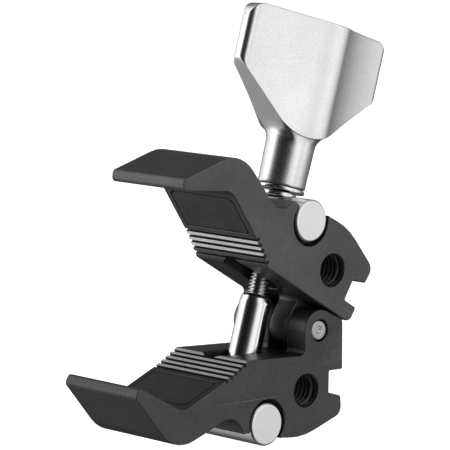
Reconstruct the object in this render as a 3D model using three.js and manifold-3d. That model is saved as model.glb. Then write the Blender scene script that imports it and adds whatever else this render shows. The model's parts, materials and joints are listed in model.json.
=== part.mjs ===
// Super clamp: two identical milled jaws on a four-finger hinge, drawn together by a wing
// knob whose threaded rod runs in a sleeve between two swivelling cross bars (trunnions).
// Millimetres, +Z up, +X from the mouth towards the hinge, Y along the hinge pin.
import * as THREE from 'three';
import { mergeVertices } from 'three/addons/utils/BufferGeometryUtils.js';
import Module from 'manifold-3d';

// ---- driving dimensions -------------------------------------------------------------
const WIDTH = 30;                 // jaws, along the hinge pin
const PIN_AT = [16.515, 0, 30.446];   // hinge pin axis in the part's frame
const BISECTOR = 162.85;          // line that halves the mouth, from the pin, degrees
const TRUNNION = [-21.1, -24.35]; // lower cross bar's axis, from the pin
const TRUNNION_R = 6.1;
const TRUNNION_LENGTH = 30.4;     // stands just proud of the jaw's faces
const GAP = 0.3;                  // between neighbouring pieces

const TOP_DISTANCE = 6.8;         // jaw's inner top face, from the pin axis
const TOP_SLOPE = 3.4;            // its slope, degrees
const FINGER_R = 6.0;             // hinge finger round the pin
const FINGER_STOP = 63.1;         // direction that the finger's stop face points in, degrees
const FINGER_FRONT = -6.0;
const REAR = 9.3;                 // jaw's rear face
const V_BOTTOM = [-52.6, -16.2];
const V_TOP = [-37.3, -9.9];
const NOSE = [-28.3, -5.13];
const RIBS = 5;
const RIB_HEIGHT = 0.8;
const TIP = [-68.6, -7.43];

const SEAT_R = 6.85;              // bore that the trunnion swivels in
const SEAT_SHIFT = 0.45;          // its centre, towards the hinge
const SLOT_X = [-29.6, -10.0];    // slot that the screw swings in; it cuts the first rib
const SLOT_R = 5;
const SOCKET = [-5.4, -16.75];    // accessory thread through the jaw
const SOCKET_R = 4.8;

const PIN_R = 2.9;
const PIN_LENGTH = 29.4;
const BUSH_R = 4.0;
const BUSH_LENGTH = 6.8;
const GRUB_R = 1.45;
const GRUB_X = [3.6, 8.0];

const PAD_MARGIN = 2.1;           // jaw material left beside a pad
const PAD_DEPTH = 1.5;
const FACE_PAD = [2.6, 15.5];     // start and end along the V face, from the V's bottom
const BEAK_PAD = [3.4, 15.0];     // the same along the beak

const SLEEVE_R = 4.65;
const SLEEVE_TOP = 35.8;          // above the lower trunnion's axis
const SLEEVE_CONE = 2.1;          // height of the sleeve's tapered end
const SPIGOT_R = 3.0;
const SPIGOT_Z = -4.0;            // its end, below the lower trunnion's axis
const ROD_R = 3.0;
const ROD_BORE = 3.35;            // clear of the rod's thread
const ROD_Z = [-33, 31];          // rod's ends, from the upper trunnion's axis
const BAR_FLAT = 5.25;            // trunnion's spot face, from its axis
const BAR_FLAT_R = 5.3;
const BAR_RELIEF = [4.9, -5.0];   // recess under the upper trunnion, radius and depth
const NECK_R = 4.9;
const THRUST_R = 7.0;
const WASHER_R = 4.6;
const RING_R = 4.3;
const FRICTION_R = 5.0;
const STEM_R = [6.95, 7.2];       // knob's stem, bottom and top
const STEM_Z = [8.7, 20.5];
const FLARE_R = 16;               // fillet that carries the stem out to the wings
const HUB_Z = 24;                 // where the stem's fillet meets the wings
const WING_APEX_Z = 18.43;        // where the wings' sloping undersides would meet
const WING_APEX_R = 16;
const WING_REACH = 25.8;          // half span of the knob's wings
const WING_EDGE = 2.4;            // half thickness at a wing's end
const WING_RIDGE = [4.15, 8.67];  // where the flat face ends, along and out from the axis
const WING_PULL = [13.0, 3.8];    // point that the hollow sweep is drawn towards
const WING_TOP = 57.3;
const WING_CORNER_Z = 40.2;
const WING_TURN = 5.9;            // wings turned about the screw, degrees
const LOCK_PIN_R = 1.0;

// ---- geometry helpers ---------------------------------------------------------------
const wasm = await Module();
wasm.setup();
const rad = THREE.MathUtils.degToRad;

function solid(geometry) {
  const plain = geometry.clone();
  for (const name of Object.keys(plain.attributes)) {
    if (name !== 'position') plain.deleteAttribute(name);
  }
  const merged = mergeVertices(plain, 1e-4);
  return new wasm.Manifold(new wasm.Mesh({
    numProp: 3,
    vertProperties: new Float32Array(merged.attributes.position.array),
    triVerts: new Uint32Array(merged.index.array),
  }));
}

function geometryOf(manifold) {
  const mesh = manifold.getMesh();
  const geometry = new THREE.BufferGeometry();
  geometry.setAttribute('position', new THREE.BufferAttribute(mesh.vertProperties, 3));
  geometry.setIndex(new THREE.BufferAttribute(mesh.triVerts, 1));
  return geometry;
}

const cut = (body, ...tools) => tools.reduce((rest, tool) => rest.subtract(tool), body);
const join = (body, ...others) => others.reduce((whole, other) => whole.add(other), body);

// An outline from corners [x, y, radius]: each corner becomes a tangent arc of that radius.
function rounded(corners, degreesPerStep = 10) {
  const points = [];
  corners.forEach(([x, y, r = 0], i) => {
    const corner = new THREE.Vector2(x, y);
    if (r === 0) {
      points.push(corner);
      return;
    }
    const before = corners.at(i - 1);
    const after = corners[(i + 1) % corners.length];
    const back = new THREE.Vector2(before[0], before[1]).sub(corner).normalize();
    const on = new THREE.Vector2(after[0], after[1]).sub(corner).normalize();
    const half = Math.acos(THREE.MathUtils.clamp(back.dot(on), -1, 1)) / 2;
    const middle = back.clone().add(on).normalize();
    const centre = corner.clone().addScaledVector(middle, r / Math.sin(half));
    const start = corner.clone().addScaledVector(back, r / Math.tan(half)).sub(centre);
    const turn = (Math.PI - 2 * half) * Math.sign(on.cross(back));
    const steps = Math.max(1, Math.round(Math.abs(turn) / rad(degreesPerStep)));
    for (let k = 0; k <= steps; k += 1) {
      points.push(start.clone().rotateAround(new THREE.Vector2(), (turn * k) / steps).add(centre));
    }
  });
  return new THREE.Shape(points);
}

// An outline in X and Z, extruded along Y from low to high.
function prismY(shape, low, high) {
  const geometry = new THREE.ExtrudeGeometry(shape, { depth: high - low, bevelEnabled: false });
  return solid(geometry.rotateX(Math.PI / 2).translate(0, high, 0));
}

function prismZ(shape, low, high) {
  const geometry = new THREE.ExtrudeGeometry(shape, { depth: high - low, bevelEnabled: false });
  return solid(geometry.translate(0, 0, low));
}

// A cylinder along Y round (x, z).
function barY(r, [x, z], low, high, sides = 40) {
  const geometry = new THREE.CylinderGeometry(r, r, high - low, sides);
  return solid(geometry.translate(x, (low + high) / 2, z));
}

function barX(r, [y, z], low, high, sides = 16) {
  const geometry = new THREE.CylinderGeometry(r, r, high - low, sides);
  return solid(geometry.rotateZ(-Math.PI / 2).translate((low + high) / 2, y, z));
}

// A solid of revolution about Z from points [radius, height].
function turned(profile, sides = 40) {
  const points = profile.map(([r, z]) => new THREE.Vector2(r, z));
  return solid(new THREE.LatheGeometry(points, sides).rotateX(Math.PI / 2));
}

const ring = (inner, outer, low, high, sides = 40) =>
  turned([[inner, low], [outer, low], [outer, high], [inner, high], [inner, low]], sides);
const disc = (r, low, high, sides = 40) => turned([[0, low], [r, low], [r, high], [0, high]], sides);

// ---- jaws ---------------------------------------------------------------------------
const half = WIDTH / 2;
const topZ = (x) => -TOP_DISTANCE / Math.cos(rad(TOP_SLOPE)) - x * Math.tan(rad(TOP_SLOPE));

// Milled grip ribs between the nose and the V face: flat crests with narrow grooves.
function ribCorners() {
  const along = new THREE.Vector2(V_TOP[0] - NOSE[0], V_TOP[1] - NOSE[1]);
  const pitch = along.length() / (RIBS + 0.25);
  along.normalize();
  const down = new THREE.Vector2(-along.y, along.x).multiplyScalar(RIB_HEIGHT);
  const at = (distance, depth) => [
    NOSE[0] + along.x * distance + down.x * depth,
    NOSE[1] + along.y * distance + down.y * depth,
  ];
  const corners = [];
  for (let i = 0; i < RIBS; i += 1) {
    const groove = (i + 0.62) * pitch;
    corners.push(at(groove, 0), at(groove + 0.1 * pitch, 1));
    corners.push(at(groove + 0.38 * pitch, 1), at(groove + 0.48 * pitch, 0));
  }
  return corners;
}

function jawOutline() {
  return rounded([
    [REAR, topZ(REAR), 2.2],
    [NOSE[0], topZ(NOSE[0]), 0.8],
    ...ribCorners(),
    [...V_TOP],
    [...V_BOTTOM, 5],
    [...TIP, 1.2],
    [-70.2, -10.16, 1.5],
    [-55.93, -27.5, 11],   // heel of the beak
    [-32.8, -19.7, 5.5],   // groove that the knob's washer swings into
    [-30.0, -26.0, 0.9],   // horn round the trunnion
    [-28.2, -25.9, 0.3],
    [-15.8, -28.95, 0.4],
    [-6.9, -30.2, 23],
    [8.95, -25.2, 3.0],
    [8.6, -20.0, 0.9],
    [3.75, -18.5, 0.5],    // rear notch
    [3.9, -12.1, 0.5],
    [REAR, -12.35, 0.7],
  ]);
}

function fingerOutline() {
  const stop = rad(FINGER_STOP);
  const stopZ = (x) => (FINGER_R - x * Math.cos(stop)) / Math.sin(stop);
  const root = -9;
  return rounded([
    [root, root],
    [REAR, root],
    [REAR, stopZ(REAR), 1.2],
    [FINGER_FRONT, stopZ(FINGER_FRONT), FINGER_R],
    [FINGER_FRONT, topZ(FINGER_FRONT), 1.5],
    [root, topZ(root)],
  ]);
}

// The width of the jaw in four strips: this jaw's fingers are the first and the third.
const strip = (index) => {
  const width = WIDTH / 4;
  const low = -half + index * width;
  return [index === 0 ? low : low + GAP / 2, index === 3 ? low + width : low + width - GAP / 2];
};
const FINGER_STRIPS = [0, 2];

// A rounded block sunk into the face that runs from one outline point to another.
function padBlock(from, to, [start, end], depth, inset) {
  const slope = Math.atan2(to[1] - from[1], to[0] - from[0]);
  const side = half - PAD_MARGIN - inset;
  const shape = rounded([
    [start + inset, -side, 2.2],
    [end - inset, -side, 1],
    [end - inset, side, 1],
    [start + inset, side, 2.2],
  ], 15);
  const overhead = inset > 0 ? 0 : 3;
  const geometry = new THREE.ExtrudeGeometry(shape, {
    depth: depth - inset + overhead, bevelEnabled: false,
  });
  geometry.translate(0, 0, inset - depth);
  geometry.rotateY(-slope);
  return solid(geometry.translate(from[0], 0, from[1]));
}

// The beak's pad is laid out the other way round, so its block is turned half a turn.
function beakBlock(depth, inset) {
  const slope = Math.atan2(TIP[1] - V_BOTTOM[1], TIP[0] - V_BOTTOM[0]);
  const side = half - PAD_MARGIN - inset;
  const [start, end] = BEAK_PAD;
  const shape = rounded([
    [-end + inset, -side, 2.2],
    [-start - inset, -side, 2.2],
    [-start - inset, side, 2.2],
    [-end + inset, side, 2.2],
  ], 15);
  const overhead = inset > 0 ? 0 : 3;
  const geometry = new THREE.ExtrudeGeometry(shape, {
    depth: depth - inset + overhead, bevelEnabled: false,
  });
  geometry.translate(0, 0, inset - depth);
  geometry.rotateY(Math.PI - slope);
  return solid(geometry.translate(V_BOTTOM[0], 0, V_BOTTOM[1]));
}

const facePad = () => padBlock(V_BOTTOM, V_TOP, FACE_PAD, PAD_DEPTH, GAP);
const beakPad = () => beakBlock(PAD_DEPTH - 0.2, GAP);

function screwSlot() {
  const [front, back] = SLOT_X;
  const shape = rounded([
    [front, -SLOT_R, SLOT_R - 0.01],
    [back, -SLOT_R, SLOT_R - 0.01],
    [back, SLOT_R, SLOT_R - 0.01],
    [front, SLOT_R, SLOT_R - 0.01],
  ], 12);
  return prismZ(shape, -32, 0);
}

function jaw(pinHole) {
  const towards = 1 + SEAT_SHIFT / -Math.hypot(...TRUNNION);
  const seat = [TRUNNION[0] * towards, TRUNNION[1] * towards];
  const fingers = FINGER_STRIPS.map((index) => prismY(fingerOutline(), ...strip(index)));
  const body = join(prismY(jawOutline(), -half, half), ...fingers);
  return cut(
    body,
    barY(pinHole, [0, 0], -half - 1, half + 1),
    barY(SEAT_R, seat, -half - 1, half + 1, 56),
    barY(SOCKET_R, SOCKET, -half - 1, half + 1, 36),
    screwSlot(),
    padBlock(V_BOTTOM, V_TOP, FACE_PAD, PAD_DEPTH, 0),
    beakBlock(PAD_DEPTH - 0.2, 0),
  );
}

function lowerJaw() {
  const middle = (strip(0)[0] + strip(0)[1]) / 2;
  return cut(jaw(PIN_R + GAP), barX(GRUB_R + GAP, [middle, 0], 0, REAR + 1));
}

const upperJaw = () => jaw(BUSH_R + GAP);

// ---- hinge --------------------------------------------------------------------------
const hingePin = () => barY(PIN_R, [0, 0], -PIN_LENGTH / 2, PIN_LENGTH / 2, 32);

// The upper jaw's fingers fill the second and the fourth strip.
function hingeBush(index) {
  const [low, high] = strip(index);
  const centre = (low + high) / 2;
  const ends = [centre - BUSH_LENGTH / 2, centre + BUSH_LENGTH / 2];
  return cut(barY(BUSH_R, [0, 0], ...ends, 32), barY(PIN_R + GAP, [0, 0], -half - 1, half + 1));
}

function hingeSetScrew() {
  const middle = (strip(0)[0] + strip(0)[1]) / 2;
  const key = barX(0.8, [middle, 0], GRUB_X[1] - 1.5, GRUB_X[1] + 1, 6);
  return cut(barX(GRUB_R, [middle, 0], ...GRUB_X), key);
}

// ---- cross bars and screw, along Z from a trunnion's axis ---------------------------
function crossBar() {
  const end = TRUNNION_LENGTH / 2;
  const edge = 0.5;
  const profile = [
    [0, -end], [TRUNNION_R - edge, -end], [TRUNNION_R, -end + edge],
    [TRUNNION_R, end - edge], [TRUNNION_R - edge, end], [0, end],
  ].map(([r, z]) => new THREE.Vector2(r, z));
  return solid(new THREE.LatheGeometry(profile, 48));
}

const lockPin = (length) => barX(LOCK_PIN_R, [0, 0], -length / 2, length / 2, 12);

function lowerTrunnion() {
  return cut(
    crossBar(),
    disc(SPIGOT_R + GAP, SPIGOT_Z - GAP, 8, 32),
    disc(SLEEVE_R + GAP, BAR_FLAT, 8, 32),
    barX(LOCK_PIN_R + GAP, [0, 0], -5, 5, 12),
  );
}

function screwSleeve() {
  const shoulder = BAR_FLAT + GAP;
  const sleeve = turned([
    [0, SPIGOT_Z], [SPIGOT_R, SPIGOT_Z], [SPIGOT_R, shoulder], [SLEEVE_R, shoulder],
    [SLEEVE_R, SLEEVE_TOP - SLEEVE_CONE], [ROD_BORE + GAP, SLEEVE_TOP],
    [ROD_BORE, SLEEVE_TOP], [ROD_BORE, 9.6], [0, 9.6],
  ], 48);
  return cut(sleeve, barX(LOCK_PIN_R + GAP, [0, 0], -5, 5, 12));
}

function upperTrunnion() {
  return cut(
    crossBar(),
    disc(ROD_BORE, -8, 8, 32),
    disc(BAR_FLAT_R, BAR_FLAT, 8, 32),
    disc(BAR_RELIEF[0], -8, BAR_RELIEF[1], 32),
  );
}

// Stack on the rod, upwards: ring, washer, (trunnion), neck collar, thrust washer, knob.
const RING_Z = [-6.9, -6.2];
const WASHER_Z = [-5.9, -5.3];
const NECK_Z = [BAR_FLAT + GAP, 7.0];
const THRUST_Z = [7.3, 8.4];
const FRICTION_Z = [8.7, 9.4];
const GROOVE_R = 2.4;
const KNOB_PIN_Z = 27;

function clampScrew() {
  const groove = 0.3;
  const rod = turned([
    [0, ROD_Z[0]], [ROD_R - 0.6, ROD_Z[0]], [ROD_R, ROD_Z[0] + 0.6],
    [ROD_R, RING_Z[0] - groove], [GROOVE_R, RING_Z[0] - groove],
    [GROOVE_R, RING_Z[1] + groove], [ROD_R, RING_Z[1] + groove],
    [ROD_R, ROD_Z[1]], [0, ROD_Z[1]],
  ], 32);
  const pinHole = new THREE.CylinderGeometry(LOCK_PIN_R + GAP, LOCK_PIN_R + GAP, 8, 12);
  return cut(rod, solid(pinHole.translate(0, 0, KNOB_PIN_Z)));
}

// Cross-section of the wings: from one wing's end a flat face climbs past the axis to a
// ridge and a hollow sweep falls from it to the other end; the back is the same turned
// half a turn.
function wingSection() {
  const fillet = 1.1;
  const ridge = new THREE.Vector2(...WING_RIDGE);
  const pull = new THREE.Vector2(...WING_PULL);
  const end = new THREE.Vector2(WING_REACH - 1.3 * fillet, WING_EDGE);
  const sweep = new THREE.QuadraticBezierCurve(ridge.clone().lerp(pull, 0.2), pull, end);
  const front = [
    [-WING_REACH, WING_EDGE, fillet],
    [...WING_RIDGE, 4],
    ...sweep.getPoints(7).map((point) => [point.x, point.y]),
    [WING_REACH, WING_EDGE, fillet],
  ];
  const back = front.map(([x, y, r]) => [-x, -y, r]);
  return rounded([...front, ...back].map(([x, y, r]) => [x, -y, r]));
}

function wingOutline() {
  const right = [
    [WING_REACH, WING_CORNER_Z, 1.6],
    [WING_REACH, WING_TOP, 4.3],
  ];
  const left = right.map(([x, z, r]) => [-x, z, r]).reverse();
  return rounded([[0, WING_APEX_Z, WING_APEX_R], ...right, ...left]);
}

function knobStem() {
  const flare = [];
  for (let step = 0; step <= 4; step += 1) {
    const angle = (step / 4) * Math.asin((HUB_Z - STEM_Z[1]) / FLARE_R);
    flare.push([
      STEM_R[1] + FLARE_R * (1 - Math.cos(angle)),
      STEM_Z[1] + FLARE_R * Math.sin(angle),
    ]);
  }
  const widest = flare.at(-1)[0];
  const top = HUB_Z + 2.5;
  return turned([[0, STEM_Z[0]], [STEM_R[0], STEM_Z[0]], ...flare, [widest, top], [0, top]], 48);
}

function wingKnob() {
  const reach = WING_RIDGE[1] + 1;
  const wings = prismZ(wingSection(), HUB_Z - 1, WING_TOP + 1).intersect(
    prismY(wingOutline(), -reach, reach),
  );
  const pinHole = new THREE.CylinderGeometry(LOCK_PIN_R + GAP, LOCK_PIN_R + GAP, 16, 12);
  return cut(
    join(knobStem(), wings),
    disc(ROD_BORE, 0, ROD_Z[1] + GAP, 32),
    disc(FRICTION_R + GAP, 0, FRICTION_Z[1] + GAP, 32),
    solid(pinHole.translate(0, 4, KNOB_PIN_Z)),
  );
}

function knobLockPin() {
  const pin = new THREE.CylinderGeometry(LOCK_PIN_R, LOCK_PIN_R, 10.5, 12);
  return solid(pin.translate(0, 1.75, KNOB_PIN_Z));
}

// ---- materials ----------------------------------------------------------------------
const finish = (color, roughness, metalness) => () =>
  new THREE.MeshStandardMaterial({ color, roughness, metalness });
const anodised = finish(0x2b2b2d, 0.55, 0.5);
const rubber = finish(0x17171a, 0.9, 0);
const turnedSteel = finish(0xd4d4d2, 0.3, 1);
const polishedSteel = finish(0xc8c9cb, 0.12, 1);
const satinAluminium = finish(0xb9babb, 0.35, 1);
const bronze = finish(0xa87a45, 0.4, 1);
const nylon = finish(0xe6e4dc, 0.5, 0);
const blackSteel = finish(0x1c1c1e, 0.4, 1);

// ---- assembly -----------------------------------------------------------------------
const clamp = new THREE.Group();
const aboutPin = new THREE.Group();
aboutPin.position.set(...PIN_AT);
clamp.add(aboutPin);

const opened = new THREE.Group();     // turned half a turn about the mouth's bisector
const bisector = new THREE.Vector3(Math.cos(rad(BISECTOR)), 0, Math.sin(rad(BISECTOR)));
opened.quaternion.setFromAxisAngle(bisector, Math.PI);
aboutPin.add(opened);

const screwTilt = rad(180 - BISECTOR);
const lowerScrew = new THREE.Group();
lowerScrew.position.set(TRUNNION[0], 0, TRUNNION[1]);
lowerScrew.rotation.y = screwTilt;
aboutPin.add(lowerScrew);

const upperScrew = new THREE.Group();
const upperAt = new THREE.Vector3(TRUNNION[0], 0, TRUNNION[1]);
upperAt.applyAxisAngle(bisector, Math.PI);
upperScrew.position.copy(upperAt);
upperScrew.rotation.y = screwTilt;
aboutPin.add(upperScrew);

const knobTurn = new THREE.Group();
knobTurn.rotation.z = -rad(WING_TURN);
upperScrew.add(knobTurn);

function place(group, name, shape, material) {
  const mesh = new THREE.Mesh(geometryOf(shape), material());
  mesh.name = name;
  group.add(mesh);
}

place(aboutPin, 'lower_jaw', lowerJaw(), anodised);
place(aboutPin, 'lower_grip_pad', facePad(), rubber);
place(aboutPin, 'lower_beak_pad', beakPad(), rubber);
place(aboutPin, 'hinge_pin', hingePin(), turnedSteel);
place(aboutPin, 'hinge_set_screw', hingeSetScrew(), blackSteel);
place(opened, 'upper_jaw', upperJaw(), anodised);
place(opened, 'upper_grip_pad', facePad(), rubber);
place(opened, 'upper_beak_pad', beakPad(), rubber);
place(aboutPin, 'hinge_bush_inner', hingeBush(1), bronze);
place(aboutPin, 'hinge_bush_outer', hingeBush(3), bronze);

place(lowerScrew, 'lower_trunnion', lowerTrunnion(), turnedSteel);
place(lowerScrew, 'screw_sleeve', screwSleeve(), polishedSteel);
place(lowerScrew, 'sleeve_lock_pin', lockPin(8.6), blackSteel);

place(upperScrew, 'upper_trunnion', upperTrunnion(), turnedSteel);
place(upperScrew, 'knob_neck', ring(ROD_BORE, NECK_R, ...NECK_Z), polishedSteel);
place(upperScrew, 'thrust_washer', ring(ROD_BORE, THRUST_R, ...THRUST_Z), polishedSteel);
place(upperScrew, 'retaining_washer', ring(ROD_BORE, WASHER_R, ...WASHER_Z, 32), polishedSteel);

place(knobTurn, 'clamp_screw', clampScrew(), polishedSteel);
place(knobTurn, 'retaining_ring', ring(GROOVE_R + GAP, RING_R, ...RING_Z, 32), blackSteel);
place(knobTurn, 'friction_washer', ring(ROD_BORE, FRICTION_R, ...FRICTION_Z, 32), nylon);
place(knobTurn, 'wing_knob', wingKnob(), satinAluminium);
place(knobTurn, 'knob_lock_pin', knobLockPin(), blackSteel);

export default clamp;
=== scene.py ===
import json
import math

import bmesh
import bpy
import numpy as np
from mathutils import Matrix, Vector


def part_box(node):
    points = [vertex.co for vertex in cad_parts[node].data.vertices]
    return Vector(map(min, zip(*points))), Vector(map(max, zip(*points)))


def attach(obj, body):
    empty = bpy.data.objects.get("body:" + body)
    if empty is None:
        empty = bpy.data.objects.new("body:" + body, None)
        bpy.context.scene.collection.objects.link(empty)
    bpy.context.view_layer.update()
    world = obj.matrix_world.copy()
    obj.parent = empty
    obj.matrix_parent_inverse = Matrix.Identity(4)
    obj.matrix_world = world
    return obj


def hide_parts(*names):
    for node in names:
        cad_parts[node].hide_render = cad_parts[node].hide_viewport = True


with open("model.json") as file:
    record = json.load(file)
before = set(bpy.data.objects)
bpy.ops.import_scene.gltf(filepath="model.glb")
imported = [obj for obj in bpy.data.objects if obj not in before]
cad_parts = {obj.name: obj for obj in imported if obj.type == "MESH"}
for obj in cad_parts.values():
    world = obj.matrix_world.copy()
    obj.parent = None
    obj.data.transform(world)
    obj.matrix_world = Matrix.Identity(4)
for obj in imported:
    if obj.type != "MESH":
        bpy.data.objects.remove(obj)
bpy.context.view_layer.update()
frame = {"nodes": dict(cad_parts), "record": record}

MM = 0.001

# ---- places taken from the frame -----------------------------------------------------
joints = {joint["name"]: joint for joint in frame["record"]["behaviour"]["joints"]}
mounts = {mount["name"]: mount for mount in frame["record"]["mounts"]}
openings = {hole["name"]: hole for hole in frame["record"]["physics"]["openings"]}

ALONG = np.array([0.0, 1.0, 0.0])                       # along the hinge pin
PIN_AT = np.array(joints["jaw_hinge"]["pos_m"])
LOWER_BAR_AT = np.array(joints["sleeve_pivot"]["pos_m"])
UPPER_BAR_AT = np.array(joints["screw_pivot"]["pos_m"])
SCREW_UP = -np.array(joints["knob_spin"]["axis"])
SCREW_SIDE = np.cross(ALONG, SCREW_UP)
SCREW_AXES = (SCREW_SIDE, ALONG, SCREW_UP)
PIN_AXES = (np.array([0.0, 0.0, 1.0]), np.array([1.0, 0.0, 0.0]), ALONG)

# ---- sizes, millimetres --------------------------------------------------------------
GAP = 0.3                                               # between neighbouring pieces
PIN_R, PIN_LENGTH = 2.9, 29.4
BUSH_R = 4.0
SOCKET_R, SOCKET_CREST_R, SOCKET_PITCH = 4.74, 3.95, 1.5875
SOCKET_END, SOCKET_WALL = 14.35, 0.2                    # half length, thickness behind the thread

# Heights on the sleeve start at the lower cross bar's axis.
BAR_FLAT_Z = 5.25
SLEEVE_R, SLEEVE_TOP, SLEEVE_FLOOR = 4.65, 35.8, 9.6
SPIGOT_R, SPIGOT_Z = 3.0, -4.0

# Heights on the screw and the knob start at the upper cross bar's axis.
ROD_R, ROD_ROOT_R, ROD_PITCH = 3.0, 2.42, 1.0
ROD_BORE = 3.35                                         # clear of the rod's thread
ROD_Z = (-33.0, 31.0)
GROOVE_R = 2.4
RING_R, RING_Z = 4.3, (-6.9, -6.2)
WASHER_R, WASHER_Z = 4.6, (-5.9, -5.3)
NECK_R, NECK_Z = 4.9, (BAR_FLAT_Z + GAP, 7.0)
THRUST_R, THRUST_Z = 7.0, (7.3, 8.4)
FRICTION_R, FRICTION_Z = 5.0, (8.7, 9.4)

STEM_R, STEM_FOOT_Z = (6.95, 7.2), 8.7
HUB_Z, HUB_REACH, APEX_R = 24.0, 6.6, 16.0
WING_REACH, WING_EDGE = 25.8, 2.4
WING_RIDGE, WING_PULL = (4.15, 8.67), (13.0, 3.8)
WING_TOP, WING_CORNER_Z, WING_CORNER_R = 57.3, 40.2, 4.3
WING_TURN = math.radians(5.9)                           # about the screw
KNOB_PIN_R, KNOB_PIN_BACK, KNOB_PIN_Z = 1.0, 3.5, 27.0


# ---- mesh helpers --------------------------------------------------------------------
def fillets(corners, steps=5):
    """A path whose corners (x, y, radius) become arcs tangent to the two straight runs beside
    them, with one more point just before and after each arc so that flat runs stay flat."""
    points = [corners[0][:2]]
    for before, corner, after in zip(corners, corners[1:], corners[2:]):
        if len(corner) == 2 or corner[2] == 0:
            points.append(corner[:2])
            continue
        here = np.array(corner[:2], float)
        back = np.array(before[:2], float) - here
        on = np.array(after[:2], float) - here
        back, on = back / np.linalg.norm(back), on / np.linalg.norm(on)
        half = math.acos(np.clip(back @ on, -1, 1)) / 2
        reach = corner[2] / math.tan(half)
        middle = (back + on) / np.linalg.norm(back + on)
        centre = here + middle * corner[2] / math.sin(half)
        start, end = here + back * reach - centre, here + on * reach - centre
        turn = math.pi - 2 * half
        share = np.linspace(0, 1, steps + 1)[:, None]
        arc = (start * np.sin((1 - share) * turn) + end * np.sin(share * turn)) / math.sin(turn)
        hold = min(0.04, 0.2 * corner[2])
        points += [centre + start + back * hold, *(centre + arc), centre + end + on * hold]
    points.append(corners[-1][:2])
    return np.array(points, float)


def placed(local, at, axes):
    """Millimetres in a piece's own axes to metres in the frame."""
    return np.asarray(at) + MM * np.asarray(local) @ np.array(axes)


def surface(name, grid):
    """A mesh from a grid of points (rows, columns, 3) whose columns close on themselves. Points
    that meet, such as poles and seams, are merged, and the faces are turned outwards."""
    rows, columns = grid.shape[:2]
    row, column = np.meshgrid(np.arange(rows - 1), np.arange(columns), indexing="ij")
    after = (column + 1) % columns
    corner = np.stack([row * columns + column, row * columns + after,
                       (row + 1) * columns + after, (row + 1) * columns + column], -1)
    mesh = bpy.data.meshes.new(name)
    mesh.from_pydata(grid.reshape(-1, 3), [], corner.reshape(-1, 4))
    return tidied(name, mesh)


def tidied(name, mesh):
    """An object with the mesh's doubles merged, its faces turned outwards and its shading smooth."""
    work = bmesh.new()
    work.from_mesh(mesh)
    bmesh.ops.remove_doubles(work, verts=work.verts, dist=2e-7)
    bmesh.ops.dissolve_degenerate(work, edges=work.edges, dist=1e-7)
    bmesh.ops.recalc_face_normals(work, faces=work.faces)
    work.to_mesh(mesh)
    work.free()
    mesh.shade_smooth()
    piece = bpy.data.objects.new(name, mesh)
    bpy.context.scene.collection.objects.link(piece)
    return piece


def loops(profile, sides=72):
    """A grid whose rows are circles: each profile point (radius, height) goes once round."""
    radius, height = np.asarray(profile, float).T
    turn = np.linspace(0, 2 * math.pi, sides, endpoint=False)
    grid = np.empty((len(radius), sides, 3))
    grid[..., 0] = radius[:, None] * np.cos(turn)
    grid[..., 1] = radius[:, None] * np.sin(turn)
    grid[..., 2] = height[:, None]
    return grid


def lathe(name, profile, at, axes, sides=72):
    """A surface of revolution about the piece's own third axis."""
    return surface(name, placed(loops(profile, sides), at, axes))


def ring_profile(inner, outer, low, high, edge):
    """Section of a flat ring with rounded edges, closed on itself."""
    middle = (low + high) / 2
    return fillets([(inner, middle), (inner, low, edge / 2), (outer, low, edge),
                    (outer, high, edge), (inner, high, edge / 2), (inner, middle)], 4)


def dressed(piece, body, slot, material, *nodes):
    """Puts a finished piece on its body in place of the CAD nodes it stands for."""
    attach(piece, body)
    if nodes:
        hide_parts(*nodes)
    piece.data.materials.clear()
    piece.data.materials.append(material)
    return piece


def softened(name, cad_node, edge, segments=3, crest=None):
    """The CAD node's own shape with its triangles merged and every edge sharper than 30 degrees
    rounded to the given width. The rounding shrinks where a face beside the edge is narrow. Faces
    for which crest(face) is true get the second material."""
    piece_mesh = frame["nodes"][cad_node].data.copy()
    work = bmesh.new()
    work.from_mesh(piece_mesh)
    bmesh.ops.remove_doubles(work, verts=work.verts, dist=3e-5)
    bmesh.ops.dissolve_limit(work, angle_limit=math.radians(0.6), verts=work.verts,
                             edges=work.edges)
    bmesh.ops.recalc_face_normals(work, faces=work.faces)
    weight = work.edges.layers.float.new("bevel_weight_edge")
    for rim in work.edges:
        if len(rim.link_faces) == 2 and rim.calc_face_angle(0) > math.radians(30):
            narrow = min(face.calc_area() for face in rim.link_faces) / rim.calc_length()
            rim[weight] = min(1.0, 0.15 * narrow / (edge * MM))
    if crest is not None:
        for face in work.faces:
            face.material_index = int(crest(face))
    work.to_mesh(piece_mesh)
    work.free()
    piece_mesh.shade_smooth()
    piece = bpy.data.objects.new(name, piece_mesh)
    bpy.context.scene.collection.objects.link(piece)
    bevel = piece.modifiers.new("edges", "BEVEL")
    bevel.width = edge * MM
    bevel.segments = segments
    bevel.limit_method = "WEIGHT"
    bevel.use_clamp_overlap = False
    weighted = piece.modifiers.new("flats", "WEIGHTED_NORMAL")
    weighted.mode = "FACE_AREA"
    weighted.weight = 60
    return piece


# ---- material helpers ----------------------------------------------------------------
def shader_group(name, inputs, outputs):
    """An empty shader node group with its named sockets, and its input and output nodes."""
    tree = bpy.data.node_groups.new(name, "ShaderNodeTree")
    for label, kind, value in inputs:
        socket = tree.interface.new_socket(label, in_out="INPUT", socket_type=kind)
        if value is not None:
            socket.default_value = value
    for label, kind in outputs:
        tree.interface.new_socket(label, in_out="OUTPUT", socket_type=kind)
    return tree, tree.nodes.new("NodeGroupInput"), tree.nodes.new("NodeGroupOutput")


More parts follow.
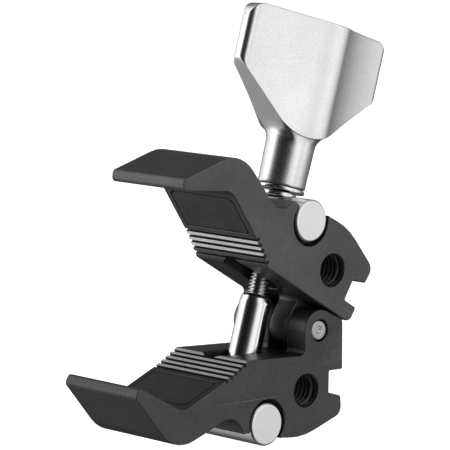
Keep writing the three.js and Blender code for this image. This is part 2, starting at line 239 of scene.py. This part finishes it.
def node(tree, kind, inputs=None, **settings):
    """A node with its settings, and its inputs set to a value or joined to another's output."""
    made = tree.nodes.new(kind)
    for key, value in settings.items():
        setattr(made, key, value)
    for key, value in (inputs or {}).items():
        if isinstance(value, bpy.types.NodeSocket):
            tree.links.new(value, made.inputs[key])
        else:
            made.inputs[key].default_value = value
    return made


def maths(tree, operation, *values):
    return node(tree, "ShaderNodeMath", dict(enumerate(values)), operation=operation).outputs[0]


def grain_group():
    """Blasted grain: two sizes of fine noise give a height, and a slow cloud gives a shade."""
    tree, given, out = shader_group(
        "blasted_grain",
        [("Vector", "NodeSocketVector", None), ("Grains per metre", "NodeSocketFloat", 3000.0),
         ("Cloud per metre", "NodeSocketFloat", 60.0)],
        [("Height", "NodeSocketFloat"), ("Shade", "NodeSocketFloat")])
    grain = node(tree, "ShaderNodeTexNoise",
                 {"Vector": given.outputs["Vector"], "Scale": given.outputs["Grains per metre"],
                  "Detail": 3.0, "Roughness": 0.65})
    cloud = node(tree, "ShaderNodeTexNoise",
                 {"Vector": given.outputs["Vector"], "Scale": given.outputs["Cloud per metre"],
                  "Detail": 2.0, "Roughness": 0.5})
    height = grain.outputs["Fac"]
    mixed = maths(tree, "ADD", maths(tree, "MULTIPLY", height, 0.65),
                  maths(tree, "MULTIPLY", cloud.outputs["Fac"], 0.35))
    shade = node(tree, "ShaderNodeMapRange",
                 {"Value": mixed, "From Min": 0.32, "From Max": 0.68}).outputs[0]
    tree.links.new(height, out.inputs["Height"])
    tree.links.new(shade, out.inputs["Shade"])
    return tree


def turned_group():
    """Lathe marks: rings about the vector's Z axis, uneven in height from ring to ring."""
    tree, given, out = shader_group(
        "turned_marks",
        [("Vector", "NodeSocketVector", None), ("Rings per metre", "NodeSocketFloat", 4000.0)],
        [("Height", "NodeSocketFloat"), ("Shade", "NodeSocketFloat")])
    flat = node(tree, "ShaderNodeVectorMath",
                {0: given.outputs["Vector"], 1: (1.0, 1.0, 0.0)}, operation="MULTIPLY")
    radius = node(tree, "ShaderNodeVectorMath", {0: flat.outputs[0]}, operation="LENGTH")
    ring = node(tree, "ShaderNodeTexNoise",
                {"W": maths(tree, "MULTIPLY", radius.outputs["Value"],
                            given.outputs["Rings per metre"]),
                 "Scale": 1.0, "Detail": 3.0, "Roughness": 0.7},
                noise_dimensions="1D")
    soft = node(tree, "ShaderNodeTexNoise",
                {"Vector": given.outputs["Vector"], "Scale": 250.0, "Detail": 2.0})
    shade = maths(tree, "ADD", maths(tree, "MULTIPLY", ring.outputs["Fac"], 0.6),
                  maths(tree, "MULTIPLY", soft.outputs["Fac"], 0.4))
    tree.links.new(ring.outputs["Fac"], out.inputs["Height"])
    tree.links.new(shade, out.inputs["Shade"])
    return tree


def rubbed_group():
    """Rubbed edges: the surface's convexity, broken up by noise, as a mask from 0 to 1."""
    tree, given, out = shader_group(
        "rubbed_edges",
        [("Vector", "NodeSocketVector", None), ("Amount", "NodeSocketFloat", 0.5)],
        [("Mask", "NodeSocketFloat")])
    shape = node(tree, "ShaderNodeNewGeometry")
    noise = node(tree, "ShaderNodeTexNoise",
                 {"Vector": given.outputs["Vector"], "Scale": 900.0, "Detail": 3.0})
    edge = node(tree, "ShaderNodeMapRange",
                {"Value": shape.outputs["Pointiness"], "From Min": 0.515, "From Max": 0.60})
    broken = maths(tree, "MULTIPLY", edge.outputs[0], noise.outputs["Fac"])
    tree.links.new(maths(tree, "MULTIPLY", broken, given.outputs["Amount"]), out.inputs["Mask"])
    return tree


GRAIN, TURNED, RUBBED = grain_group(), turned_group(), rubbed_group()


def new_material(name, metallic):
    """A material, its node tree, its shader and the output that holds object coordinates."""
    material = bpy.data.materials.new(name)
    material.use_nodes = True
    tree = material.node_tree
    shader = tree.nodes["Principled BSDF"]
    shader.inputs["Metallic"].default_value = metallic
    shader.inputs["IOR"].default_value = 1.5
    place = node(tree, "ShaderNodeTexCoord").outputs["Object"]
    return material, tree, shader, place


def group_node(tree, group, inputs):
    return node(tree, "ShaderNodeGroup", inputs, node_tree=group)


def between(tree, share, low, high):
    """A value that goes from low to high as share goes from 0 to 1."""
    made = node(tree, "ShaderNodeMapRange", {"Value": share, "To Min": low, "To Max": high})
    return made.outputs[0]


def tint(tree, share, first, second):
    """A colour that goes from first to second as share goes from 0 to 1. Each of the two is a
    colour or another node's output."""
    first, second = (colour if isinstance(colour, bpy.types.NodeSocket) else (*colour, 1)
                     for colour in (first, second))
    made = node(tree, "ShaderNodeMix", {0: share, 6: first, 7: second}, data_type="RGBA")
    return made.outputs[2]


def bumped(tree, shader, height, distance):
    """Joins a bump of the given height and distance in metres to the shader's normal."""
    bump = node(tree, "ShaderNodeBump", {"Height": height, "Distance": distance, "Strength": 1.0})
    tree.links.new(bump.outputs["Normal"], shader.inputs["Normal"])


def blasted(name, dark, light, roughness, metallic, depth, grains=3000.0, rub=None):
    """Bead-blasted and anodised aluminium: fine grain, slow clouding and, where rub is given,
    edges rubbed towards that colour."""
    material, tree, shader, place = new_material(name, metallic)
    grain = group_node(tree, GRAIN, {"Vector": place, "Grains per metre": grains})
    colour = tint(tree, grain.outputs["Shade"], dark, light)
    if rub is not None:
        worn = group_node(tree, RUBBED, {"Vector": place, "Amount": 0.9})
        colour = tint(tree, worn.outputs["Mask"], colour, rub)
    tree.links.new(colour, shader.inputs["Base Color"])
    rough = between(tree, grain.outputs["Shade"], *roughness)
    tree.links.new(rough, shader.inputs["Roughness"])
    bumped(tree, shader, grain.outputs["Height"], depth)
    return material


def turned_steel(name, at, axis, dark, light, roughness, depth, rings=4000.0):
    """Steel turned on a lathe about the given axis, with its tool marks as rings."""
    material, tree, shader, place = new_material(name, 1.0)
    aim = Vector(axis).to_track_quat("Z", "Y").to_matrix().inverted()
    offset = aim @ -Vector(at)
    mapping = node(tree, "ShaderNodeMapping",
                   {"Vector": place, "Location": offset, "Rotation": aim.to_euler()})
    marks = group_node(tree, TURNED,
                       {"Vector": mapping.outputs["Vector"], "Rings per metre": rings})
    tree.links.new(tint(tree, marks.outputs["Shade"], dark, light), shader.inputs["Base Color"])
    tree.links.new(between(tree, marks.outputs["Shade"], *roughness), shader.inputs["Roughness"])
    bumped(tree, shader, marks.outputs["Height"], depth)
    return material


def sheet_rubber(name):
    """Matt black rubber: a fine crepe skin with a slow change of shade."""
    material, tree, shader, place = new_material(name, 0.0)
    grain = group_node(tree, GRAIN, {"Vector": place, "Grains per metre": 1500.0,
                                     "Cloud per metre": 120.0})
    colour = tint(tree, grain.outputs["Shade"], (0.012, 0.012, 0.013), (0.03, 0.03, 0.032))
    tree.links.new(colour, shader.inputs["Base Color"])
    tree.links.new(between(tree, grain.outputs["Shade"], 0.62, 0.5), shader.inputs["Roughness"])
    bumped(tree, shader, grain.outputs["Height"], 0.00003)
    return material


# One black anodising in two copies, lit and shaded: the lower jaw's colours and rubbed-edge colour
# are darker than the upper's as painted shade, because the light falls from above.
ANODISED_WITH_PAINTED_SHADE = {
    "lower": blasted("lower_anodising_painted_shade", (0.044, 0.044, 0.046), (0.074, 0.074, 0.077),
                     (0.42, 0.34), 0.85, 0.000012, rub=(0.25, 0.25, 0.26)),
    "upper": blasted("upper_anodising_lit_copy", (0.066, 0.066, 0.069), (0.104, 0.104, 0.108),
                     (0.42, 0.34), 0.85, 0.000012, rub=(0.30, 0.30, 0.31)),
}
SATIN = blasted("satin_aluminium", (0.77, 0.77, 0.78), (0.96, 0.96, 0.96),
                (0.32, 0.23), 1.0, 0.00002, grains=2300.0)
# The ribs' flat tops are painted light grey and almost non-metallic: a painted highlight standing in
# for the glint on the rounded crests.
RIB_CREST_PAINTED_HIGHLIGHT = blasted("rib_crests_painted_highlight", (0.36, 0.36, 0.37), (0.7, 0.7, 0.71), (0.45, 0.35),
                    0.1, 0.000006)
SOCKET_BLACK = blasted("anodised_thread", (0.035, 0.035, 0.037), (0.06, 0.06, 0.062),
                       (0.42, 0.32), 0.9, 0.000004)
RUBBER = sheet_rubber("black_rubber")
BAR_STEEL = {
    side: turned_steel(f"{side}_bar_steel", at, ALONG, (0.86, 0.86, 0.855), (1.0, 1.0, 1.0),
                       (0.34, 0.24), 0.00004, rings=1500.0)
    for side, at in (("lower", LOWER_BAR_AT), ("upper", UPPER_BAR_AT))
}
PIN_STEEL = turned_steel("pin_steel", PIN_AT, ALONG, (0.3, 0.3, 0.3), (0.85, 0.85, 0.84),
                         (0.42, 0.3), 0.00003, rings=2200.0)
SLEEVE_STEEL = turned_steel("sleeve_steel", LOWER_BAR_AT, SCREW_UP, (0.78, 0.78, 0.79),
                            (0.86, 0.86, 0.87), (0.13, 0.09), 0.0000015)
SCREW_STEEL = turned_steel("screw_steel", UPPER_BAR_AT, SCREW_UP, (0.66, 0.66, 0.67),
                           (0.82, 0.82, 0.83), (0.24, 0.16), 0.000002)
BRONZE = turned_steel("bush_bronze", PIN_AT, ALONG, (0.5, 0.33, 0.16), (0.66, 0.46, 0.24),
                      (0.45, 0.32), 0.000004)
BLACK_STEEL = blasted("black_oxide_steel", (0.02, 0.02, 0.021), (0.05, 0.05, 0.052),
                      (0.5, 0.38), 0.9, 0.000004, grains=5000.0)
NYLON = blasted("natural_nylon", (0.74, 0.72, 0.66), (0.84, 0.83, 0.77), (0.55, 0.42), 0.0,
                0.000006, grains=1800.0)


# ---- jaws and pads -------------------------------------------------------------------
def rib_crest(side):
    """Test for the flat tops of the ribs beside the slot: narrow full-width strips that face as
    the pad does and lie between the pad and the hinge."""
    least_width, most_area = 0.0008, 36e-6
    facing = Vector(mounts[f"{side}_grip_face"]["axis"])
    first_x, last_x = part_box(f"{side}_grip_pad")[1][0], PIN_AT[0] - 0.022

    def test(face):
        centre, area = face.calc_center_median(), face.calc_area()
        width = area / max(rim.calc_length() for rim in face.edges)
        return (face.normal.dot(facing) > 0.985 and width > least_width and area < most_area
                and first_x < centre.x < last_x)
    return test


def jaws():
    """Both jaws, with their ribs' flat tops painted light grey as a painted highlight, and the four
    rubber pads.
    """
    for side in ("lower", "upper"):
        jaw = softened(f"{side}_jaw_milled", f"{side}_jaw", 0.35, 3, rib_crest(side))
        finish = np.empty(len(jaw.data.polygons), np.int32)
        jaw.data.polygons.foreach_get("material_index", finish)
        # The lower jaw gets the darker copy of the anodising: painted shade.
        dressed(jaw, f"{side}_half", "jaw", ANODISED_WITH_PAINTED_SHADE[side], f"{side}_jaw")
        # The crests' second material is a painted highlight.
        jaw.data.materials.append(RIB_CREST_PAINTED_HIGHLIGHT)
        jaw.data.polygons.foreach_set("material_index", finish)
        for spot in ("grip", "beak"):
            pad = softened(f"{side}_{spot}_rubber", f"{side}_{spot}_pad", 0.35)
            dressed(pad, f"{side}_half", "pad", RUBBER, f"{side}_{spot}_pad")


def thread_grid(low, high, wall, crest, pitch, sides=64, rows_per_pitch=14):
    """A helical wall: round the axis and along it, the radius goes from wall to crest and back
    once a pitch, as a raised cosine with a flattened crest, and the crest climbs one pitch a
    turn. It fades out over nine tenths of a pitch at both ends. Rows run along the axis."""
    rows = int((high - low) / pitch * rows_per_pitch) + 1
    height = np.linspace(low, high, rows)[:, None]
    turn = np.linspace(0, 2 * math.pi, sides, endpoint=False)[None, :]
    phase = 2 * math.pi * height / pitch - turn
    wave = np.clip((0.5 + 0.5 * np.cos(phase)) * 1.25 - 0.1, 0, 1)
    fade = np.clip(np.minimum(height - low, high - height) / (0.9 * pitch), 0, 1)
    radius = wall + (crest - wall) * wave * fade
    grid = np.empty((rows, sides, 3))
    grid[..., 0] = radius * np.cos(turn)
    grid[..., 1] = radius * np.sin(turn)
    grid[..., 2] = height
    return grid


def socket_threads():
    """The threaded wall of each accessory socket: a tube whose inside is a helical wall."""
    sides, end, outer = 64, SOCKET_END, SOCKET_R + SOCKET_WALL
    for side in ("lower", "upper"):
        low, high = (np.array(corner) for corner in openings[f"{side}_socket"]["box_m"])
        at = (low + high) / 2
        at[1] = 0
        wall = thread_grid(-end, end, SOCKET_R, SOCKET_CREST_R, SOCKET_PITCH, sides)
        grid = np.concatenate([loops([(outer, 0), (outer, -end), (SOCKET_R, -end)], sides), wall,
                               loops([(SOCKET_R, end), (outer, end), (outer, 0)], sides)])
        piece = surface(f"{side}_socket_thread", placed(grid, at, PIN_AXES))
        dressed(piece, f"{side}_half", "jaw", SOCKET_BLACK)


# ---- hinge ---------------------------------------------------------------------------
def pin_grid():
    """The pin with its ends swaged: a small centre mark, two shallow rings, and serrations near
    the rim whose height is a cosine of 28 times the angle, faded in and out along the radius."""
    end, sides = PIN_LENGTH / 2, 168
    teeth, tooth_depth = 28, 0.07
    rim = PIN_R - 0.45
    marks = [(0, end - 0.45), (0.3, end - 0.4), (0.55, end - 0.02), (0.8, end - 0.02),
             (0.95, end - 0.14), (1.15, end - 0.14), (1.3, end)]
    band = [(radius, end) for radius in np.linspace(1.5, rim, 9)]
    edge = fillets([(rim, end), (PIN_R, end - 0.45, 0.2), (PIN_R, 0)], 4)
    half = np.concatenate([marks, band, edge[1:]])
    profile = np.concatenate([half, (half * (1, -1))[::-1][1:]])
    grid = loops(profile, sides)
    radius = np.hypot(grid[..., 0], grid[..., 1])
    turn = np.linspace(0, 2 * math.pi, sides, endpoint=False)
    window = np.exp(-((radius - 2.1) / 0.28) ** 2) * (np.abs(grid[..., 2]) > end - 0.1)
    dent = tooth_depth * window * (0.5 + 0.5 * np.cos(teeth * turn))
    grid[..., 2] -= dent * np.sign(grid[..., 2])
    return grid


def hinge():
    """The pin, the upper jaw's two bushes on it, and the grub screw that holds it."""
    dressed(surface("hinge_pin_turned", placed(pin_grid(), PIN_AT, PIN_AXES)), "lower_half",
            "pin", PIN_STEEL, "hinge_pin")
    for bush in ("hinge_bush_inner", "hinge_bush_outer"):
        low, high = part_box(bush)
        section = ring_profile(PIN_R + GAP, BUSH_R, low[1] / MM, high[1] / MM, 0.25)
        at = PIN_AT * (1, 0, 1)
        dressed(lathe(f"{bush}_turned", section, at, PIN_AXES), "upper_half", "bush", BRONZE, bush)
    dressed(softened("hinge_grub_screw", "hinge_set_screw", 0.12, 2), "lower_half",
            "black_steel", BLACK_STEEL, "hinge_set_screw")


# ---- cross bars and screw ------------------------------------------------------------
def cross_bars():
    """The two cross bars, and the pin that holds the sleeve in the lower one."""
    for side, body in (("lower", "sleeve_swivel"), ("upper", "screw_swivel")):
        bar = softened(f"{side}_bar_turned", f"{side}_trunnion", 0.15, 2)
        dressed(bar, body, "trunnion", BAR_STEEL[side], f"{side}_trunnion")
    dressed(softened("sleeve_pin", "sleeve_lock_pin", 0.1, 2), "sleeve_swivel", "black_steel",
            BLACK_STEEL, "sleeve_lock_pin")


def sleeve():
    """The sleeve: a spigot, a plain post with a rounded top, and a blind bore."""
    foot, rim = BAR_FLAT_Z + GAP, ROD_BORE + GAP
    profile = fillets([
        (0, SPIGOT_Z), (SPIGOT_R, SPIGOT_Z, 0.3), (SPIGOT_R, foot, 0.1), (SLEEVE_R, foot, 0.3),
        (SLEEVE_R, SLEEVE_TOP - 2.3, 3.5), (SLEEVE_R - 0.32, SLEEVE_TOP - 0.75, 0.8),
        (rim, SLEEVE_TOP - 0.1, 0.1), (rim, SLEEVE_TOP, 0.05), (ROD_BORE, SLEEVE_TOP, 0.05),
        (ROD_BORE, SLEEVE_FLOOR), (0, SLEEVE_FLOOR)])
    dressed(lathe("screw_sleeve_turned", profile, LOWER_BAR_AT, SCREW_AXES, 96),
            "sleeve_swivel", "polished_steel", SLEEVE_STEEL, "screw_sleeve")


def screw():
    """The rod: a pointed start, a rolled thread as a helical wall, then the plain shank with the
    retaining ring's groove."""
    sides = 64
    thread_top = RING_Z[0] - 1.2
    groove_low, groove_high = RING_Z[0] - GAP, RING_Z[1] + GAP
    wall = thread_grid(ROD_Z[0] + 0.3, thread_top, ROD_ROOT_R, ROD_R, ROD_PITCH, sides)
    start = loops([(0, ROD_Z[0]), (ROD_ROOT_R - 0.3, ROD_Z[0])], sides)
    shank = loops(fillets([
        (ROD_ROOT_R, thread_top), (ROD_R, thread_top + 0.5, 0.1), (ROD_R, groove_low),
        (GROOVE_R, groove_low), (GROOVE_R, groove_high), (ROD_R, groove_high),
        (ROD_R, ROD_Z[1] - 0.4, 0.1), (ROD_R - 0.4, ROD_Z[1], 0.1), (0, ROD_Z[1])], 3), sides)
    grid = np.concatenate([start, wall, shank])
    dressed(surface("clamp_screw_threaded", placed(grid, UPPER_BAR_AT, SCREW_AXES)), "knob",
            "screw_thread", SCREW_STEEL, "clamp_screw")


def rings():
    """The flat rings stacked on the screw."""
    stack = (
        ("knob_neck", ROD_BORE, NECK_R, NECK_Z, 0.35,
         "screw_swivel", "polished_steel", SLEEVE_STEEL),
        ("thrust_washer", ROD_BORE, THRUST_R, THRUST_Z, 0.3,
         "screw_swivel", "polished_steel", SLEEVE_STEEL),
        ("retaining_washer", ROD_BORE, WASHER_R, WASHER_Z, 0.15,
         "screw_swivel", "polished_steel", SCREW_STEEL),
        ("retaining_ring", GROOVE_R + GAP, RING_R, RING_Z, 0.15,
         "knob", "black_steel", BLACK_STEEL),
        ("friction_washer", ROD_BORE, FRICTION_R, FRICTION_Z, 0.2,
         "knob", "nylon", NYLON),
    )
    for name, inner, outer, (low, high), edge, body, slot, material in stack:
        section = ring_profile(inner, outer, low, high, edge)
        piece = lathe(f"{name}_turned", section, UPPER_BAR_AT, SCREW_AXES, 80)
        dressed(piece, body, slot, material, name)


# ---- wing knob -----------------------------------------------------------------------
def wing_face(along):
    """Distance of the wings' front face from the axis plane: a straight climb from one wing's
    end, a quadratic curve over the ridge that tightens as it goes, then a second quadratic curve
    that falls to the other end."""
    before_ridge, past_ridge = 8.5, 0.33    # millimetres, and share of the way to the pull
    ridge, pull = np.array(WING_RIDGE), np.array(WING_PULL)
    end = np.array([WING_REACH, WING_EDGE])
    start = ridge + past_ridge * (pull - ridge)
    face = np.array([-WING_REACH, WING_EDGE])
    before = ridge + before_ridge * (face - ridge) / np.linalg.norm(face - ridge)
    share = np.linspace(0, 1, 200)[:, None]
    crown = (1 - share) ** 2 * before + 2 * share * (1 - share) * ridge + share ** 2 * start
    sweep = (1 - share) ** 2 * start + 2 * share * (1 - share) * pull + share ** 2 * end
    line = np.concatenate([[face], crown, sweep[1:]])
    return np.interp(along, line[:, 0], line[:, 1])


def wing_outline():
    """Outline of the wings seen along the axis: the front face between its end fillets, a
    filleted end, and both again after half a turn. Also gives, for each point, the angle on the
    stem that it grows from and how far round an end it is, 0 on the faces and 1 on the ends. The
    angles are those of the face's points drawn in along the wing and set at one depth."""
    fillet, reach = 2.2, WING_REACH
    draw_in, depth = 0.31, 8.0
    share = np.linspace(-1, 1, 141)
    along = (reach - fillet) * (0.55 * share + 0.45 * share ** 3)
    front = np.stack([along, wing_face(along)], 1)
    start = math.atan2(depth, draw_in * (reach - fillet))
    front_angle = np.arctan2(depth, draw_in * along)
    bend = np.linspace(0, math.pi / 2, 11)[1:]
    near, far = wing_face(reach - fillet), wing_face(fillet - reach)
    near_arc = np.stack([reach - fillet + fillet * np.sin(bend),
                         near - fillet + fillet * np.cos(bend)], 1)
    flat = np.linspace(near - fillet, fillet - far, 6)[1:-1]
    middle = np.stack([np.full(4, reach), flat], 1)
    far_arc = (near_arc * (1, -1))[::-1] + (0, near - far)
    half = np.concatenate([front, near_arc, middle, far_arc])
    end_angle = np.linspace(start, -start, len(half) - len(front) + 2)[1:-1]
    angle = np.concatenate([front_angle, end_angle])
    on_end = np.concatenate([np.zeros(len(front)), np.sin(np.linspace(0, math.pi, len(end_angle)))])
    return (np.concatenate([half, -half]), np.concatenate([angle, angle + math.pi]),
            np.tile(np.clip(2 * on_end, 0, 1), 2))


def underside(along):
    """Height of the wings' underside: two straight slopes joined under the hub by an arc."""
    rise = (WING_CORNER_Z - HUB_Z) / (WING_REACH - HUB_REACH)
    lean = math.atan(rise)
    apex = HUB_Z - HUB_REACH * rise
    centre = apex + APEX_R / math.cos(lean)
    along = np.abs(along)
    arc = centre - np.sqrt(np.maximum(APEX_R ** 2 - along ** 2, 0))
    return np.where(along < APEX_R * math.sin(lean), arc, apex + along * rise)


def bend_rows(start, corner, end, count):
    """Rows of a quadratic curve from start to end, drawn towards corner, for all columns."""
    share = np.linspace(0, 1, count)[:, None, None]
    return (1 - share) ** 2 * start + 2 * share * (1 - share) * corner + share ** 2 * end


def knob_rows():
    """Rows of the knob from its bore to its crown. Every column climbs the stem, bends out on to
    the wings' underside, runs along it to its own place on the outline, bends up the face, and
    bends over the top edge to meet the column opposite."""
    outline, angle, on_end = wing_outline()
    columns = len(outline)
    around = np.stack([np.cos(angle), np.sin(angle)], 1)

    def level(points, height):
        return np.column_stack([points, np.broadcast_to(height, columns)])

    def towards(start, goal, length):
        """Points the given length from start on the way to goal, at most 45% of the way."""
        way = goal - start
        whole = np.linalg.norm(way, axis=1)
        return start + way * (np.minimum(length / np.maximum(whole, 1e-6), 0.45))[:, None]

    bore_end, recess_r, recess_z = ROD_Z[1] + GAP, FRICTION_R + GAP, FRICTION_Z[1] + GAP
    stem_start = STEM_FOOT_Z + 1.5
    base = fillets([(0, bore_end), (ROD_BORE, bore_end), (ROD_BORE, recess_z),
                    (recess_r, recess_z), (recess_r, STEM_FOOT_Z, 0.15),
                    (STEM_R[0], STEM_FOOT_Z, 0.45), (STEM_R[0] + 0.03, stem_start)], 5)
    rows = [level(around * radius, height) for radius, height in base]

    stem = around * STEM_R[1]
    drop = 3.0 + 1.0 * np.sin(angle) ** 2       # how far below the underside the bend starts
    foot_height = underside(stem[:, 0]) - drop
    for share in np.linspace(0, 1, 14)[1:]:
        height = stem_start + share * (foot_height - stem_start)
        radius = STEM_R[0] + (STEM_R[1] - STEM_R[0]) * share
        rows.append(level(around * radius, height))

    def along_underside(share):
        flat = stem + (outline - stem) * np.asarray(share)[..., None]
        return level(flat, underside(flat[:, 0]))

    length = np.linalg.norm(outline - stem, axis=1)
    bend = 3.0 + 7.0 * np.sin(angle) ** 2       # how far out it ends, where the wing is long
    leave = bend / (1 + (bend / (0.8 * length)) ** 4) ** 0.25 / length
    for share in np.linspace(0, 1, 19)[1:]:
        row = along_underside(leave * share ** 2)
        row[:, 2] -= drop * (1 - share) ** 2
        rows.append(row)
    soft = 0.35 + 0.75 * on_end
    arrive = 1 - np.minimum(soft / np.maximum(length, 1e-6), 0.15)
    for share in np.linspace(0, 1, 16)[1:]:
        rows.append(along_underside(leave + (arrive - leave) * share))

    rim = level(outline, underside(outline[:, 0]))
    past = np.maximum(np.abs(outline[:, 0]) - (WING_REACH - WING_CORNER_R), 0)
    top_height = WING_TOP - WING_CORNER_R + np.sqrt(
        np.maximum(WING_CORNER_R ** 2 - past ** 2, 0))
    top = level(outline, top_height)
    rows += list(bend_rows(rows[-1], rim, towards(rim, top, soft), 6)[1:])
    crown = 0.5
    low, high = rows[-1], towards(top, rim, crown)
    rows += [low + (high - low) * share for share in np.linspace(0, 1, 26)[1:]]

    middle = (wing_face(outline[:, 0]) - wing_face(-outline[:, 0])) / 2
    ridge = np.column_stack([outline[:, 0], middle, top_height])
    rows += list(bend_rows(high, top, towards(top, ridge, crown), 6)[1:])
    last = rows[-1]
    rows += [last + (ridge - last) * share for share in (0.05, 0.5, 1.0)]
    return np.array(rows)


def wing_knob():
    """The cast knob, turned a little about the screw, and its cross pin, whose domed end shows on
    the front face."""
    side = math.cos(WING_TURN) * SCREW_SIDE - math.sin(WING_TURN) * ALONG
    out = -math.cos(WING_TURN) * ALONG - math.sin(WING_TURN) * SCREW_SIDE
    grid = placed(knob_rows(), UPPER_BAR_AT, (side, out, SCREW_UP))
    dressed(surface("wing_knob_cast", grid), "knob", "knob", SATIN, "wing_knob")
    tip = float(wing_face(0.0)) + 0.12
    profile = fillets([(0, -KNOB_PIN_BACK), (KNOB_PIN_R, -KNOB_PIN_BACK, 0.2),
                       (KNOB_PIN_R, tip - 0.2, 0.2), (KNOB_PIN_R / 2, tip, 0.3), (0, tip)], 3)
    at = placed((0, 0, KNOB_PIN_Z), UPPER_BAR_AT, SCREW_AXES)
    piece = lathe("knob_drive_pin", profile, at, (side, SCREW_UP, -out), 32)
    dressed(piece, "knob", "black_steel", BLACK_STEEL, "knob_lock_pin")


# ---- stage ---------------------------------------------------------------------------
VIEW_AZIMUTH, VIEW_ELEVATION = math.radians(-43), math.radians(8)
VIEW_DISTANCE = 0.8571
PANEL_PEAK = 2.2                        # strength of the world where a panel's colour is white


def camera():
    """Looks at a point above the hinge and a little towards the mouth, from the near side of the
    mouth and slightly above."""
    aim = Vector(PIN_AT) + Vector((-0.0170, 0.0066, 0.0299))
    data = bpy.data.cameras.new("camera")
    data.lens = 240
    data.sensor_width = 36
    data.clip_end = 20
    made = bpy.data.objects.new("camera", data)
    bpy.context.scene.collection.objects.link(made)
    made.rotation_euler = (math.pi / 2 - VIEW_ELEVATION, 0, VIEW_AZIMUTH)
    looking = Vector((-math.sin(VIEW_AZIMUTH) * math.cos(VIEW_ELEVATION),
                      math.cos(VIEW_AZIMUTH) * math.cos(VIEW_ELEVATION),
                      -math.sin(VIEW_ELEVATION)))
    made.location = aim - VIEW_DISTANCE * looking
    bpy.context.scene.camera = made


def floor():
    """A wide glowing floor that melts into the background and stays out of reflections."""
    mesh = bpy.data.meshes.new("floor")
    reach = 12.0
    mesh.from_pydata([(-reach, -reach, 0), (reach, -reach, 0), (reach, reach, 0),
                      (-reach, reach, 0)], [], [(0, 1, 2, 3)])
    made = bpy.data.objects.new("floor", mesh)
    bpy.context.scene.collection.objects.link(made)
    material, _, shader, _ = new_material("pale_floor", 0.0)
    shader.inputs["Base Color"].default_value = (0.5, 0.5, 0.5, 1)
    shader.inputs["Roughness"].default_value = 0.9
    shader.inputs["Emission Color"].default_value = (1, 1, 1, 1)
    shader.inputs["Emission Strength"].default_value = 1.0
    mesh.materials.append(material)
    made.visible_glossy = False


def studio():
    """Soft light from all round. Seen from the camera's side, turning to the right: a bright
    front panel, a dimmer right side, a dark back, a strong panel on the left and a black gap
    between that panel and the camera. The camera itself sees plain white."""
    world = bpy.data.worlds.new("studio")
    bpy.context.scene.world = world
    world.use_nodes = True
    tree = world.node_tree
    background = tree.nodes["Background"]
    way = node(tree, "ShaderNodeTexCoord").outputs["Generated"]
    parts = node(tree, "ShaderNodeSeparateXYZ", {0: way})
    turn = maths(tree, "ARCTAN2", parts.outputs["Y"], parts.outputs["X"])
    towards_camera = VIEW_AZIMUTH - math.pi / 2
    share = maths(tree, "DIVIDE", maths(tree, "SUBTRACT", turn, towards_camera), 2 * math.pi)
    around = maths(tree, "FRACT", maths(tree, "ADD", share, 2.0))
    panels = node(tree, "ShaderNodeValToRGB", {0: around})
    # Degrees from the camera's side of the object, going round by its right, and the strength.
    stops = ((0, 0.05), (10, 0.12), (22, 0.6), (30, 1.06), (52, 1.14), (62, 0.7), (74, 1.12),
             (92, 0.88), (104, 0.56), (120, 0.31), (138, 0.2), (165, 0.15), (205, 0.17),
             (224, 0.9), (252, 1.15), (268, 1.8), (282, 1.1), (289, 0.35), (296, 0.05),
             (315, 0.012), (340, 0.012), (355, 0.03))
    ramp = panels.color_ramp
    ramp.interpolation = "EASE"
    while len(ramp.elements) < len(stops):
        ramp.elements.new(0.5)
    for element, (degrees, level) in zip(ramp.elements, stops):
        element.position = degrees / 360
        element.color = (level / PANEL_PEAK,) * 3 + (1,)
    rise = maths(tree, "MULTIPLY_ADD", parts.outputs["Z"], 0.5, 0.5)
    levels = node(tree, "ShaderNodeValToRGB", {0: rise})
    # From straight down (0) to straight up (1), and the share of the panel's strength there.
    heights = ((0.0, 0.12), (0.1, 0.22), (0.2, 0.36), (0.34, 0.42), (0.4, 0.8), (0.44, 1.0),
               (0.8, 1.0), (0.92, 0.8), (0.97, 0.3), (1.0, 0.1))
    ramp = levels.color_ramp
    while len(ramp.elements) < len(heights):
        ramp.elements.new(0.5)
    for element, (position, level) in zip(ramp.elements, heights):
        element.position = position
        element.color = (level, level, level, 1)
    light = maths(tree, "MULTIPLY", panels.outputs[0], levels.outputs[0])
    strength = maths(tree, "MULTIPLY", light, PANEL_PEAK)
    path = node(tree, "ShaderNodeLightPath")
    seen = node(tree, "ShaderNodeMix", {0: path.outputs["Is Camera Ray"], 2: strength, 3: 1.0})
    tree.links.new(seen.outputs[0], background.inputs["Strength"])
    background.inputs["Color"].default_value = (1, 1, 1, 1)


def overhead():
    """A wide soft lamp above."""
    data = bpy.data.lights.new("overhead", "AREA")
    data.size = 1.2
    data.energy = 9
    made = bpy.data.objects.new("overhead", data)
    made.location = (0.1, 0.2, 1.5)
    made.visible_glossy = False
    bpy.context.scene.collection.objects.link(made)


camera()
jaws()
socket_threads()
hinge()
cross_bars()
sleeve()
screw()
rings()
wing_knob()
floor()
studio()
overhead()
bpy.context.scene.view_settings.view_transform = "Standard"
